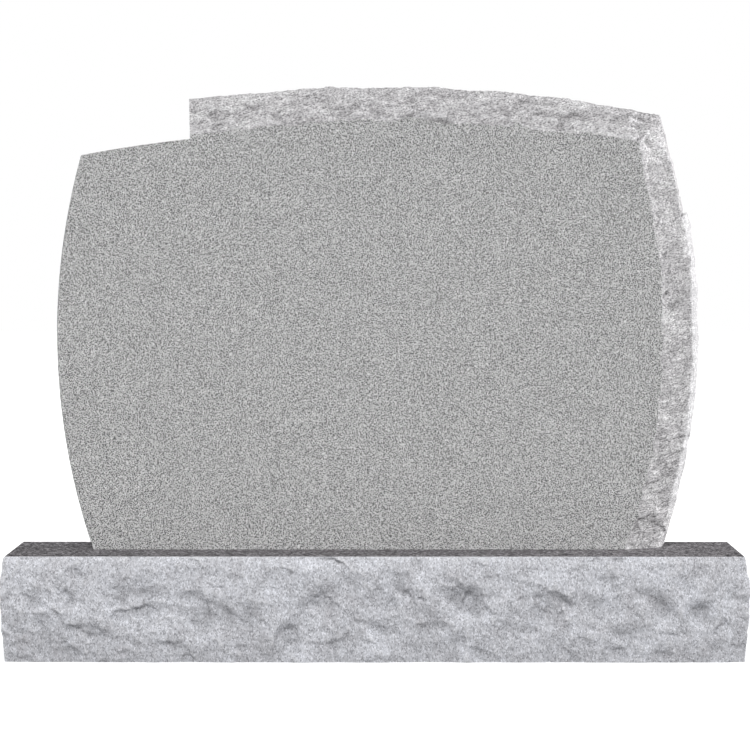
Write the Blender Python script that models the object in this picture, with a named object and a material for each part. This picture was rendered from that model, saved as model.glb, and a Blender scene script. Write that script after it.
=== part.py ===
"""Upright granite grave marker, in metres, +Z up, its face towards -Y.

A tablet with a smooth bowed left side, and a rock-pitched band along its top
and right side, rests on a base with a smooth top and four pitched sides.
The origin is on the ground, under the middle of the base.
"""

import math
import random

import bmesh
import bpy
import numpy as np

# Base, measured along its sawn arrises
BASE_WIDTH = 1.422
BASE_DEPTH = 0.356
BASE_HEIGHT = 0.203
BASE_COLUMNS = 72
BASE_END_COLUMNS = 18
BASE_ROWS = 11

# How far the pitched sides of the base swell past the arrises
FRONT_SWELL = 0.018
FRONT_FOOT_SHARE = 0.85
END_SWELL = 0.008
END_FOOT_SHARE = 1.0
SWELL_RISE = 0.7
ARRIS_FADE = 0.2
CORNER_REACH = 0.045

# Tablet, with its outline as corners (X, Z) joined by bowed edges of these radii
TABLET_THICKNESS = 0.152
TABLET_SETBACK = 0.163
BED_GAP = 0.0003
TABLET_FOOT = BASE_HEIGHT + BED_GAP
FACE_Y = TABLET_SETBACK - BASE_DEPTH / 2

LEFT_FOOT = (-0.554, TABLET_FOOT)
LEFT_SHOULDER = (-0.576, 0.978)
STEP_FOOT = (-0.3625, 1.010)
LEFT_BOW = 1.311
SLOPE_BOW = 2.640

# The smooth face ends at the border, and the pitched band rises from it to the crest
BORDER_START = (-0.3625, 1.018)
BORDER_CORNER = (0.513, 0.993)
BORDER_FOOT = (0.492, TABLET_FOOT)
BORDER_TOP_BOW = 2.500
BORDER_SIDE_BOW = 1.311
CREST_START = (-0.3680, 1.092)
CREST_CORNER = (0.565, 1.061)
CREST_FOOT = (0.565, TABLET_FOOT)
CREST_TOP_BOW = 3.001
CREST_SIDE_BOW = 1.320
BAND_ROUNDNESS = 1.6

LEFT_SEGMENTS = 24
SLOPE_SEGMENTS = 6
TOP_SEGMENTS = 56
SIDE_SEGMENTS = 50
BAND_ROWS = 18

# The side's crest runs straighter from its corner down to a step, where it comes back out
SIDE_STEP_HEIGHT = 0.866
SIDE_STEP_OUT = 0.006
SIDE_STEP_RUN = 0.002
SIDE_INSET = 0.0062
SIDE_INSET_RUN = 0.080

# Near the step and below it the side turns back to a rim, part way from border to crest
SIDE_TURN_RUN = 0.070
RIM_SHARE = 0.45
RIM_LIFT = 0.85
SIDE_LIFT = 0.92
RIM_TURN = (0.35, 0.60)

# Where the band's relief fades in, and how much calmer it is at the rim, crest and foot
BORDER_FADE = 0.14
RIM_FADE = 0.10
RIM_CALM = 0.85
CREST_CALM_START = 0.60
CREST_CALM = 0.85
FOOT_CALM = 0.24

# The mitre of the band is eased back by this much, within this reach of the corner
MITRE_EASE = 0.006
MITRE_REACH = 0.045

# How the border leaves its bow, and how soon it does from the step
BORDER_WANDER = 0.0020
WANDER_SIZE = 0.11
BORDER_JAG = 0.0034
BORDER_JAG_SIZE = 0.018
BORDER_EASE = 0.036

# Relief of the pitched stone: broad ground, with a turn of the lattice for each octave
RELIEF_OCTAVES = 3
OCTAVE_SHRINK = 0.5
LATTICE_TURN = 0.7
OCTAVE_TURN = 1.9
BROAD_SIZE = 0.20
BROAD_HEIGHT = 0.005
BAND_BROAD_SIZE = 0.10
BAND_BROAD_HEIGHT = 0.007
BAND_DEPTH = 0.012
RAGGED_SIZE = 0.09
RAGGED_REACH = 0.012

# Scars: one for each spacing along a side, their range of size and tilt, and the shell's form
SCAR_SPACING = 0.030
SCAR_RADII = (0.025, 0.085)
SCAR_TILTS = (-0.9, -0.2)
SCAR_FLOORS = (0.2, 0.7)
SCAR_STRETCH = 1.6
SCAR_CURVE = 0.010
SCAR_BLEND = 0.0015

# Ledges of the sides that the face does not show: spacing, and their range of size and tilt
LEDGE_SPACING = 0.036
LEDGE_HALF_WIDTHS = (0.012, 0.050)
LEDGE_TILT_SPREAD = 0.5
LEDGE_FALLS = (0.010, 0.040)
LEDGE_DROP_SHARES = (0.15, 0.40)
LEDGE_LEAST_DROP = 0.002
LEDGE_RISES = (-0.05, 0.15)

# Section through a ledge, as shares of its fall below the lip
LEDGE_LIP = 0.0020
LEDGE_OVERLAP = 1.35
LEDGE_START = 0.12
LEDGE_DEEPEST = 0.7
LEDGE_END = 2.4

# Seeds of the random relief, for each side and for each kind of relief on it
FRONT_SEED = 3
RIGHT_SEED = 14
REAR_SEED = 25
LEFT_SEED = 36
BAND_FRONT_SEED = 47
BAND_REAR_SEED = 58
LEDGE_SEED = 7
WANDER_SEED = 20
JAG_SEED = 30
SCAR_EDGE_SEEDS = (50, 60)
LEDGE_EDGE_SEEDS = (70, 80)

PITCHED_COLOUR = (0.47, 0.48, 0.51)
PITCHED_ROUGHNESS = 0.85
STEELED_COLOUR = (0.39, 0.39, 0.39)
STEELED_ROUGHNESS = 0.6

# Ledges, in metres: start (X, Z) and end (X, Z) of the lip, drop, fall and rise of its middle.
# The hollow lies on the right of the way from start to end, so a way to the left makes a shelf.
FRONT_LEDGES = (
    (-0.503, 0.159, -0.392, 0.144, 0.0108, 0.044, 0.003),
    (-0.338, 0.147, -0.288, 0.075, 0.0072, 0.034, 0.004),
    (-0.250, 0.117, -0.181, 0.117, 0.0046, 0.026, 0.000),
    (-0.162, 0.121, -0.051, 0.176, 0.0072, 0.030, -0.002),
    (-0.189, 0.078, -0.143, 0.078, 0.0132, 0.036, 0.008),
    (-0.557, 0.082, -0.503, 0.067, 0.0061, 0.024, 0.002),
    (0.018, 0.186, 0.072, 0.174, 0.0084, 0.034, 0.002),
    (0.149, 0.147, 0.210, 0.144, 0.0084, 0.034, 0.003),
    (0.298, 0.147, 0.402, 0.140, 0.0108, 0.044, 0.004),
    (0.409, 0.132, 0.459, 0.124, 0.0038, 0.024, 0.000),
    (0.455, 0.075, 0.532, 0.075, 0.0108, 0.032, 0.004),
    (0.601, 0.121, 0.651, 0.117, 0.0108, 0.034, 0.003),
    (0.195, 0.069, 0.095, 0.134, 0.0072, 0.030, 0.000),
    (0.563, 0.075, 0.501, 0.113, 0.0072, 0.030, 0.000),
    (0.049, 0.088, -0.032, 0.098, 0.0031, 0.024, 0.000),
    (0.291, 0.098, 0.210, 0.109, 0.0060, 0.030, 0.000),
    (0.605, 0.117, 0.570, 0.140, 0.0031, 0.024, 0.000),
)
BAND_LEDGES = (
    (-0.274, 1.078, -0.239, 1.082, 0.0087, 0.022, 0.002),
    (-0.179, 1.065, -0.136, 1.080, 0.0099, 0.022, 0.002),
    (-0.144, 1.057, -0.108, 1.053, 0.0087, 0.016, 0.004),
    (-0.073, 1.082, -0.017, 1.108, 0.0087, 0.016, 0.000),
    (-0.013, 1.090, 0.018, 1.094, 0.0076, 0.026, 0.000),
    (0.178, 1.094, 0.196, 1.069, 0.0065, 0.016, 0.000),
    (0.255, 1.053, 0.306, 1.065, 0.0099, 0.020, 0.003),
    (0.350, 1.059, 0.389, 1.063, 0.0065, 0.016, 0.004),
    (0.401, 1.063, 0.429, 1.069, 0.0087, 0.020, 0.000),
    (0.460, 1.023, 0.508, 1.027, 0.0087, 0.022, 0.006),
    (0.535, 1.021, 0.571, 1.023, 0.0065, 0.016, 0.000),
    (0.535, 0.990, 0.575, 1.003, 0.0045, 0.016, 0.000),
    (0.520, 0.919, 0.567, 0.922, 0.0064, 0.018, -0.002),
    (0.541, 0.844, 0.563, 0.851, 0.0045, 0.018, 0.000),
    (0.571, 0.690, 0.626, 0.721, 0.0058, 0.024, 0.002),
    (0.595, 0.571, 0.626, 0.595, 0.0043, 0.020, 0.000),
    (-0.045, 1.051, -0.104, 1.047, 0.0054, 0.016, 0.000),
    (0.389, 1.025, 0.326, 1.029, 0.0054, 0.016, 0.000),
)

# Scars that break the corner of the band: place, radius, tilt, floor
CORNER_SCARS = (
    ((0.552, 1.036), 0.050, -0.8, 0.000),
)

# Bites where the border of the smooth face leaves its bow: place, half width, reach
BORDER_BITES = (
    ((-0.250, 1.030), 0.040, -0.004),
    ((-0.167, 1.040), 0.030, -0.003),
    ((-0.063, 1.043), 0.020, 0.003),
    ((-0.013, 1.046), 0.016, 0.006),
    ((0.038, 1.046), 0.014, -0.003),
    ((0.075, 1.045), 0.028, 0.009),
    ((0.131, 1.043), 0.020, -0.003),
    ((0.275, 1.031), 0.014, 0.009),
    ((0.360, 1.020), 0.040, 0.002),
    ((0.440, 1.006), 0.060, 0.009),
    ((0.500, 1.000), 0.022, 0.010),
    ((0.527, 0.922), 0.008, -0.007),
    ((0.535, 0.898), 0.012, 0.003),
    ((0.554, 0.755), 0.030, 0.003),
    ((0.561, 0.535), 0.030, 0.003),
    ((0.548, 0.440), 0.050, 0.003),
    ((0.541, 0.385), 0.012, 0.003),
    ((0.515, 0.270), 0.026, 0.006),
)


def clear_scene():
    """Remove whatever the file holds."""
    for leftover in list(bpy.data.objects):
        bpy.data.objects.remove(leftover, do_unlink=True)


def granite(name, colour, roughness):
    """Plain granite of one colour and roughness."""
    material = bpy.data.materials.new(name)
    material.use_nodes = True
    shader = material.node_tree.nodes["Principled BSDF"]
    shader.inputs["Base Color"].default_value = (*colour, 1.0)
    shader.inputs["Roughness"].default_value = roughness
    shader.inputs["Metallic"].default_value = 0.0
    material.diffuse_color = (*colour, 1.0)
    return material


def smooth_step(low, high, value):
    """Rise softly from 0 at low to 1 at high."""
    share = np.clip((value - low) / (high - low), 0.0, 1.0)
    return share * share * (3.0 - 2.0 * share)


def knot(column, row, seed):
    """A random value between -1 and 1 for each knot of a unit lattice."""
    mixed = column * 374761393 + row * 668265263 + seed * 974634777
    mixed = (mixed ^ (mixed >> 13)) * 1274126177
    mixed = mixed ^ (mixed >> 16)
    return (mixed & 0xFFFF) / 32767.5 - 1.0


def lattice_noise(x, y, seed):
    """Smooth noise between -1 and 1 over a unit lattice."""
    column = np.floor(x).astype(np.int64)
    row = np.floor(y).astype(np.int64)
    right = smooth_step(0.0, 1.0, x - column)
    above = smooth_step(0.0, 1.0, y - row)
    low = knot(column, row, seed) * (1.0 - right) + knot(column + 1, row, seed) * right
    high = knot(column, row + 1, seed) * (1.0 - right) + knot(column + 1, row + 1, seed) * right
    return low * (1.0 - above) + high * above


def turned(u, v, place, tilt):
    """Distances from a place, along and across a direction tilted from level."""
    along = (u - place[0]) * math.cos(tilt) + (v - place[1]) * math.sin(tilt)
    across = (v - place[1]) * math.cos(tilt) - (u - place[0]) * math.sin(tilt)
    return along, across


def broken(u, v, size, height, seed):
    """Broken ground: each octave is half as wide and half as high as the last."""
    total = 0.0
    for octave in range(RELIEF_OCTAVES):
        along, across = turned(u, v, (0.0, 0.0), LATTICE_TURN + OCTAVE_TURN * octave)
        total = total + height * lattice_noise(along / size, across / size, seed + octave)
        size *= OCTAVE_SHRINK
        height *= OCTAVE_SHRINK
    return total


def strike_scars(place_at, count, floor, seed):
    """Shallow shells struck off a side: place, radius, tilt and floor of each."""
    chance = random.Random(seed)
    scars = []
    for _ in range(count):
        place = place_at(chance.random(), chance.random())
        radius = chance.uniform(*SCAR_RADII)
        tilt = chance.uniform(*SCAR_TILTS)
        scars.append((place, radius, tilt, floor * chance.uniform(*SCAR_FLOORS)))
    return scars


def strike_ledges(place_at, count, seed):
    """Ledges where a blow broke the stone under a lip, most of them nearly level."""
    chance = random.Random(seed)
    ledges = []
    for _ in range(count):
        x, z = place_at(chance.random(), chance.random())
        half = chance.uniform(*LEDGE_HALF_WIDTHS)
        tilt = chance.gauss(0.0, LEDGE_TILT_SPREAD)
        right = half * math.cos(tilt)
        up = half * math.sin(tilt)
        fall = chance.uniform(*LEDGE_FALLS)
        drop = chance.uniform(*LEDGE_DROP_SHARES) * fall + LEDGE_LEAST_DROP
        rise = chance.uniform(*LEDGE_RISES) * half
        ledges.append((x - right, z - up, x + right, z + up, drop, fall, rise))
    return ledges


def cut_scar(ground, u, v, scar):
    """Lower the ground to the shell of a scar where it reaches below it."""
    place, radius, tilt, floor = scar
    along, across = turned(u, v, place, tilt)
    bowl = floor + SCAR_CURVE * ((along / (SCAR_STRETCH * radius)) ** 2 + (across / radius) ** 2)
    share = np.clip(0.5 + 0.5 * (bowl - ground) / SCAR_BLEND, 0.0, 1.0)
    return bowl * (1.0 - share) + ground * share - SCAR_BLEND * share * (1.0 - share)


def cut_ledge(ground, u, v, ledge):
    """Break a hollow out under a lip, deepest just below it."""
    start_x, start_z, end_x, end_z, drop, fall, rise = ledge
    middle = ((start_x + end_x) / 2, (start_z + end_z) / 2)
    width = LEDGE_OVERLAP * math.hypot(end_x - start_x, end_z - start_z)
    along, above = turned(u, v, middle, math.atan2(end_z - start_z, end_x - start_x))
    bow = np.clip(1.0 - (2.0 * along / width) ** 2, 0.0, None)
    above = above - rise * bow
    under = 1.0 / (1.0 + np.exp(np.clip(above / LEDGE_LIP, -30.0, 30.0)))
    below = np.clip(-above, 0.0, None) / fall
    hollow = LEDGE_START + (1.0 - LEDGE_START) * smooth_step(0.0, LEDGE_DEEPEST, below)
    risen = 1.0 - smooth_step(LEDGE_DEEPEST, LEDGE_END, below)
    return ground - drop * bow * under * hollow * risen


def pitch(ground, u, v, scars, ledges, seed):
    """Strike scars and ledges off the ground, all with ragged edges."""
    ragged_u = u + broken(u, v, RAGGED_SIZE, RAGGED_REACH, seed + SCAR_EDGE_SEEDS[0])
    ragged_v = v + broken(u, v, RAGGED_SIZE, RAGGED_REACH, seed + SCAR_EDGE_SEEDS[1])
    for scar in scars:
        ground = cut_scar(ground, ragged_u, ragged_v, scar)
    ragged_u = u + broken(u, v, RAGGED_SIZE / 2, RAGGED_REACH / 3, seed + LEDGE_EDGE_SEEDS[0])
    ragged_v = v + broken(u, v, RAGGED_SIZE / 2, RAGGED_REACH / 3, seed + LEDGE_EDGE_SEEDS[1])
    for ledge in ledges:
        ground = cut_ledge(ground, ragged_u, ragged_v, ledge)
    return ground


def bowed(start, end, radius, segments):
    """Points of the arc from start to end that swells to the left of the way."""
    start = np.array(start)
    end = np.array(end)
    chord = end - start
    half = np.linalg.norm(chord) / 2
    left = np.array((-chord[1], chord[0])) / (2 * half)
    centre = (start + end) / 2 - left * math.sqrt(radius ** 2 - half ** 2)
    first = start - centre
    first_angle = math.atan2(first[1], first[0])
    sweep = 2 * math.asin(half / radius)
    angles = first_angle - sweep * np.linspace(0.0, 1.0, segments + 1)
    return centre + radius * np.column_stack((np.cos(angles), np.sin(angles)))


def swell_profile(z, foot_share):
    """Share of the swell at height z: none at the top arris, most above mid-height."""
    below_arris = np.clip(1.0 - z / BASE_HEIGHT, 0.0, 1.0)
    return np.sin(math.pi * foot_share * below_arris ** SWELL_RISE)


def side_relief(u, z, swell, foot_share, length, ledges, seed):
    """How far a pitched side of the base stands out, at u from its middle and height z."""
    def place_at(along, up):
        return (along - 0.5) * length, up * BASE_HEIGHT

    below_arris = 1.0 - z / BASE_HEIGHT
    fade = smooth_step(0.0, ARRIS_FADE, below_arris)
    broad = broken(u, z, BROAD_SIZE, BROAD_HEIGHT * swell / FRONT_SWELL, seed)
    ground = swell * swell_profile(z, foot_share) + broad * fade
    scars = strike_scars(place_at, round(length / SCAR_SPACING), swell, seed)
    if ledges is None:
        ledges = strike_ledges(place_at, round(length / LEDGE_SPACING), seed + LEDGE_SEED)
    ground = pitch(ground, u, z, scars, ledges, seed)
    return np.where(below_arris > 0.0, ground, 0.0)


def base_side(corner, along, out, length, columns, swell, foot_share, ledges, seed):
    """Rows of points up one pitched side of the base, without its last column."""
    heights = np.linspace(0.0, BASE_HEIGHT, BASE_ROWS + 1)
    u, z = np.meshgrid(np.linspace(0.0, length, columns + 1)[:-1], heights)
    relief = side_relief(u - length / 2, z, swell, foot_share, length, ledges, seed)
    inner = smooth_step(0.0, CORNER_REACH, np.minimum(u, length - u))
    at_corner = END_SWELL * swell_profile(z, END_FOOT_SHARE) * (1.0 - inner)
    outward = relief * inner + at_corner
    sideways = u + at_corner * np.where(u < length / 2, -1.0, 1.0)
    x = corner[0] + along[0] * sideways + out[0] * outward
    y = corner[1] + along[1] * sideways + out[1] * outward
    return np.dstack((x, y, z))


def quads(grid, closed):
    """Faces between the rows and columns of a grid of vertices."""
    columns = len(grid[0])
    for low, high in zip(grid, grid[1:]):
        for column in range(columns if closed else columns - 1):
            following = (column + 1) % columns
            yield (low[column], low[following], high[following], high[column])


def flat_strips(row):
    """Faces of the base's flat top or underside, in strips from front to back."""
    rear_left = 2 * BASE_COLUMNS + BASE_END_COLUMNS
    for column in range(1, BASE_COLUMNS - 1):
        rear = rear_left - column
        yield (row[column], row[column + 1], row[rear - 1], row[rear])
    yield row[BASE_COLUMNS - 1:BASE_COLUMNS + BASE_END_COLUMNS + 2]
    yield row[rear_left - 1:] + row[:2]


def add_solid(name, material, mesh):
    """Make one closed object from a mesh under construction."""
    bmesh.ops.recalc_face_normals(mesh, faces=mesh.faces)
    data = bpy.data.meshes.new(name)
    mesh.to_mesh(data)
    mesh.free()
    data.materials.append(material)
    solid = bpy.data.objects.new(name, data)
    bpy.context.collection.objects.link(solid)
    return solid


def add_base():
    """The block that the tablet stands on."""
    right = BASE_WIDTH / 2
    rear = BASE_DEPTH / 2
    long_side = (BASE_WIDTH, BASE_COLUMNS, FRONT_SWELL, FRONT_FOOT_SHARE)
    short_side = (BASE_DEPTH, BASE_END_COLUMNS, END_SWELL, END_FOOT_SHARE)
    front_side = base_side((-right, -rear), (1, 0), (0, -1), *long_side, FRONT_LEDGES, FRONT_SEED)
    right_side = base_side((right, -rear), (0, 1), (1, 0), *short_side, None, RIGHT_SEED)
    rear_side = base_side((right, rear), (-1, 0), (0, 1), *long_side, None, REAR_SEED)
    left_side = base_side((-right, rear), (0, -1), (-1, 0), *short_side, None, LEFT_SEED)
    rows = np.concatenate((front_side, right_side, rear_side, left_side), axis=1)

    mesh = bmesh.new()
    grid = [[mesh.verts.new(point) for point in row] for row in rows]
    for face in quads(grid, True):
        mesh.faces.new(face)
    for row in (grid[0], grid[-1]):
        for face in flat_strips(row):
            mesh.faces.new(face)
    return add_solid("base", granite("pitched_granite", PITCHED_COLOUR, PITCHED_ROUGHNESS), mesh)


def band_edges():
    """Points along the border of the smooth face, and along the crest above it."""
    border_top = bowed(BORDER_START, BORDER_CORNER, BORDER_TOP_BOW, TOP_SEGMENTS)
    border_side = bowed(BORDER_CORNER, BORDER_FOOT, BORDER_SIDE_BOW, SIDE_SEGMENTS)
    crest_top = bowed(CREST_START, CREST_CORNER, CREST_TOP_BOW, TOP_SEGMENTS)
    crest_side = bowed(CREST_CORNER, CREST_FOOT, CREST_SIDE_BOW, SIDE_SEGMENTS)
    border = np.concatenate((border_top, border_side[1:]))
    crest = np.concatenate((crest_top, crest_side[1:]))
    return border, crest


def run_along(row):
    """Distance of each point of a row from its first point, along the row."""
    return np.concatenate(([0.0], np.cumsum(np.linalg.norm(np.diff(row, axis=0), axis=1))))


def border_wander(border, run, seed):
    """How far the ragged border of the smooth face lies outside its bow."""
    level = np.zeros_like(run)
    wander = broken(run, level, WANDER_SIZE, BORDER_WANDER, seed + WANDER_SEED)
    wander = wander + broken(run, level, BORDER_JAG_SIZE, BORDER_JAG, seed + JAG_SEED)
    wander = wander * smooth_step(0.0, BORDER_EASE, run)
    for place, half_width, reach in BORDER_BITES:
        distance = np.hypot(border[:, 0] - place[0], border[:, 1] - place[1])
        wander = wander + reach * np.exp(-(distance / half_width) ** 2)
    return wander


def band_half(shares, ledges, seed):
    """Rows of points up one half of the band, at shares of the way from border to crest."""
    border, crest = band_edges()
    rise = crest - border
    out = rise / np.linalg.norm(rise, axis=1)[:, None]
    run = run_along(crest)
    above_step = crest[:, 1] - SIDE_STEP_HEIGHT
    below_step = smooth_step(SIDE_STEP_RUN, -SIDE_STEP_RUN, above_step)
    below_corner = smooth_step(0.0, SIDE_INSET_RUN, CREST_CORNER[1] - crest[:, 1])
    turned_back = smooth_step(SIDE_TURN_RUN, 0.0, above_step)
    crest_out = SIDE_STEP_OUT * below_step - SIDE_INSET * below_corner * (1.0 - below_step)

    def place_at(along, up):
        column = round(along * (len(border) - 1))
        return border[column] + rise[column] * up

    scars = strike_scars(place_at, round(run[-1] / SCAR_SPACING), 2 * BAND_DEPTH, seed)
    scars.extend(CORNER_SCARS)
    if ledges is None:
        ledges = strike_ledges(place_at, round(run[-1] / LEDGE_SPACING), seed + LEDGE_SEED)
    wander = border_wander(border, run, seed)
    for share in shares:
        rim = np.interp(share, (0.0, RIM_SHARE, 1.0), (0.0, RIM_LIFT, 1.0))
        flat = np.interp(share, (0.0, RIM_SHARE, 1.0), (0.0, SIDE_LIFT, 1.0))
        side = flat * (1.0 - turned_back) + rim * turned_back
        rounded = 1.0 - (1.0 - share) ** BAND_ROUNDNESS
        lift = rounded * (1.0 - below_corner) + side * below_corner
        plain = border + rise * lift[:, None]
        broad = broken(plain[:, 0], plain[:, 1], BAND_BROAD_SIZE, BAND_BROAD_HEIGHT, seed)
        ground = pitch(BAND_DEPTH + broad, plain[:, 0], plain[:, 1], scars, ledges, seed) - BAND_DEPTH
        inner = smooth_step(0.0, BORDER_FADE, share)
        inner = inner * (1.0 - CREST_CALM * smooth_step(CREST_CALM_START, 1.0, share))
        inner = inner * (1.0 - RIM_CALM * below_corner * smooth_step(RIM_SHARE - RIM_FADE, RIM_SHARE, share))
        inner = inner * smooth_step(0.0, FOOT_CALM, plain[:, 1] - TABLET_FOOT)
        over_side = min(share / RIM_SHARE, 1.0) * (1.0 - turned_back)
        over_side = over_side + smooth_step(*RIM_TURN, share) * turned_back
        to_crest = share * (1.0 - below_corner) + over_side * below_corner
        outward = wander * (1.0 - share) ** 2 + ground * inner + crest_out * to_crest
        yield plain + out * outward[:, None]


def band_rows():
    """Rows of points (X, Y, Z) over the band, from the front border to the rear one."""
    half_rows = BAND_ROWS // 2
    shares = np.linspace(0.0, 1.0, half_rows + 1)
    front_half = list(band_half(shares, BAND_LEDGES, BAND_FRONT_SEED))
    rear_half = list(band_half(shares, None, BAND_REAR_SEED))
    crest_run = run_along(front_half[-1])
    to_mitre = crest_run - crest_run[TOP_SEGMENTS]
    near_mitre = np.exp(-(to_mitre / MITRE_REACH) ** 2)
    rows = []
    for share, row in zip(shares, front_half):
        depth = share * TABLET_THICKNESS / 2 + 4 * MITRE_EASE * share * (1.0 - share) * near_mitre
        rows.append(np.column_stack((row[:, 0], FACE_Y + depth, row[:, 1])))
    for share, row in zip(shares[-2::-1], rear_half[-2::-1]):
        depth = share * TABLET_THICKNESS / 2 + 4 * MITRE_EASE * share * (1.0 - share) * near_mitre
        rows.append(np.column_stack((row[:, 0], FACE_Y + TABLET_THICKNESS - depth, row[:, 1])))
    return rows


def add_tablet():
    """The upright stone."""
    left_edge = bowed(LEFT_FOOT, LEFT_SHOULDER, LEFT_BOW, LEFT_SEGMENTS)
    slope = bowed(LEFT_SHOULDER, STEP_FOOT, SLOPE_BOW, SLOPE_SEGMENTS)
    smooth_edge = np.concatenate((left_edge, slope[1:]))

    mesh = bmesh.new()
    grid = [[mesh.verts.new(point) for point in row] for row in band_rows()]
    front = [mesh.verts.new((x, FACE_Y, z)) for x, z in smooth_edge]
    back = [mesh.verts.new((x, FACE_Y + TABLET_THICKNESS, z)) for x, z in smooth_edge]
    for face in quads(grid, False):
        mesh.faces.new(face)
    for face in quads([front, back], False):
        mesh.faces.new(face)
    mesh.faces.new(front + grid[0])
    mesh.faces.new(back + grid[-1])
    mesh.faces.new([front[-1]] + [row[0] for row in grid] + [back[-1]])
    mesh.faces.new([front[0]] + [row[-1] for row in grid] + [back[0]])
    return add_solid("tablet", granite("steeled_granite", STEELED_COLOUR, STEELED_ROUGHNESS), mesh)


clear_scene()
add_base()
add_tablet()
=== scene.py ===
"""The finish of an upright granite grave marker, in metres, +Z up, its face towards -Y.

Two stones: a tablet with a steeled face, a bowed left side and a rock-pitched band
along its top and right side, and a base with a honed top and four rock-pitched sides.
"""

import math
import random

import bpy
import numpy as np
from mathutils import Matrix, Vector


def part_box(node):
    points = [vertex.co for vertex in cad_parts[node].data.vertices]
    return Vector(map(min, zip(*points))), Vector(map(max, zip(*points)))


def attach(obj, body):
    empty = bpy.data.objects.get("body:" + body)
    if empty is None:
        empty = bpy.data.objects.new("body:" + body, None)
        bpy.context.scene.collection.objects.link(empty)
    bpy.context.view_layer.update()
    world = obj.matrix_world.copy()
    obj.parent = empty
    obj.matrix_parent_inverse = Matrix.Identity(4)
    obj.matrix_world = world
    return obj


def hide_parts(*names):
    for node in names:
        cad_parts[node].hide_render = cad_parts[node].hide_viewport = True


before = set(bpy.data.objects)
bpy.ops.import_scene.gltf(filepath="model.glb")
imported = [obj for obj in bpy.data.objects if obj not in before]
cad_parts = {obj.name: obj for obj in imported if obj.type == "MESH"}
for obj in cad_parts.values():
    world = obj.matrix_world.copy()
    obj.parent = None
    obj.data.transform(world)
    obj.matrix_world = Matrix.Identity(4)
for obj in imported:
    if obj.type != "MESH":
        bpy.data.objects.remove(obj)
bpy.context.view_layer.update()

# The photograph's frame: its focal length, horizon and vertical through the camera, in pixels
PHOTO_SIDE = 750
PHOTO_FOCAL = 3514.0
HORIZON_ABOVE_MIDDLE = 116.8
CAMERA_LEFT_OF_MIDDLE = -13.0
CAMERA_PLACE = (0.026, -6.913, 0.776)
SENSOR_MM = 36.0

# How close two places are that count as one, and how far up the normal of a level face points
NEAR = 1e-4
LEVEL = 0.9

# Base, measured along its sawn arrises. Front and back are parted in panels, each cut so often.
BASE_WIDTH = 1.422
BASE_DEPTH = 0.356
BASE_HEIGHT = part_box("base")[1].z
FRONT_PANELS = 7
PANEL_CUTS = 71

# How far the pitched sides of the base swell past the arrises
FRONT_SWELL = 0.018
FRONT_FOOT_SHARE = 0.85
END_SWELL = 0.008
END_FOOT_SHARE = 1.0
SWELL_RISE = 0.7
ARRIS_FADE = 0.2
CORNER_REACH = 0.045

# Tablet, with its outline as corners (X, Z) joined by bowed edges of these radii
FACE_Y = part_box("tablet")[0].y
TABLET_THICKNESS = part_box("tablet")[1].y - FACE_Y
TABLET_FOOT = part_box("tablet")[0].z

LEFT_FOOT = (-0.554, TABLET_FOOT)
LEFT_SHOULDER = (-0.576, 0.978)
STEP_FOOT = (-0.3625, 1.010)
LEFT_BOW = 1.311
SLOPE_BOW = 2.640

# The smooth face ends at the border, and the pitched band rises from it to the crest
BORDER_START = (-0.3625, 1.018)
BORDER_CORNER = (0.513, 0.993)
BORDER_FOOT = (0.492, TABLET_FOOT)
BORDER_TOP_BOW = 2.500
BORDER_SIDE_BOW = 1.311
CREST_START = (-0.3680, 1.092)
CREST_CORNER = (0.565, 1.061)
CREST_FOOT = (0.565, TABLET_FOOT)
CREST_TOP_BOW = 3.001
CREST_SIDE_BOW = 1.320
BAND_ROUNDNESS = 1.6

# Near its step and below it the side turns back to a rim, part way from border to crest.
# How far out the side has come there, with the rim and without it.
RIM_SHARE = 0.45
RIM_LIFT = 0.85
SIDE_LIFT = 0.92
RIM_TURN = (0.35, 0.60)

# The freshly broken stone outside the rim, painted paler, partly as a highlight: half the width of its
# edge, and where it ends above the foot
RIM_EDGE = 0.03
RIM_FOOT = 0.27
RIM_FOOT_FADE = 0.05

# Where the band's relief fades in, and how much calmer it is at the rim, crest and foot
BORDER_FADE = 0.14
RIM_FADE = 0.10
RIM_CALM = 0.85
CREST_CALM_START = 0.60
CREST_CALM = 0.85
CREST_FINE_START = 0.75
CREST_FINE_CALM = 0.60
FOOT_CALM = 0.24

# The band's mesh here has FINER times the columns of its solid, 56 along the top and 50 beside
FINER = 7
TOP_COLUMNS = 56 * FINER
SIDE_COLUMNS = 50 * FINER
BAND_ROWS = 84
LEFT_SEGMENTS = 90
SLOPE_SEGMENTS = 24

# How wide the sawn arrises are eased, and the height about which the band's columns lie in turn
ARRIS = 0.0015
BAND_PIVOT = 0.6

# The side's crest runs straighter from its corner down to a step, where it comes back out
SIDE_STEP_HEIGHT = 0.866
SIDE_STEP_OUT = 0.006
SIDE_STEP_RUN = 0.002
SIDE_TURN_RUN = 0.070
SIDE_INSET = 0.0062
SIDE_INSET_RUN = 0.080

# The mitre of the band is eased back by this much, within this reach of the corner
MITRE_EASE = 0.006
MITRE_REACH = 0.045

# How the border leaves its bow, and how soon it does from the step
BORDER_WANDER = 0.0020
WANDER_SIZE = 0.11
BORDER_JAG = 0.0034
BORDER_JAG_SIZE = 0.018
BORDER_EASE = 0.036

# Relief of the pitched stone: broad ground, with a turn of the lattice for each octave
RELIEF_OCTAVES = 6
OCTAVE_SHRINK = 0.5
LATTICE_TURN = 0.7
OCTAVE_TURN = 1.9
BROAD_SIZE = 0.20
BROAD_HEIGHT = 0.005
BAND_BROAD_SIZE = 0.10
BAND_BROAD_HEIGHT = 0.007
BAND_DEPTH = 0.012
RAGGED_SIZE = 0.09
RAGGED_REACH = 0.012

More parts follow.
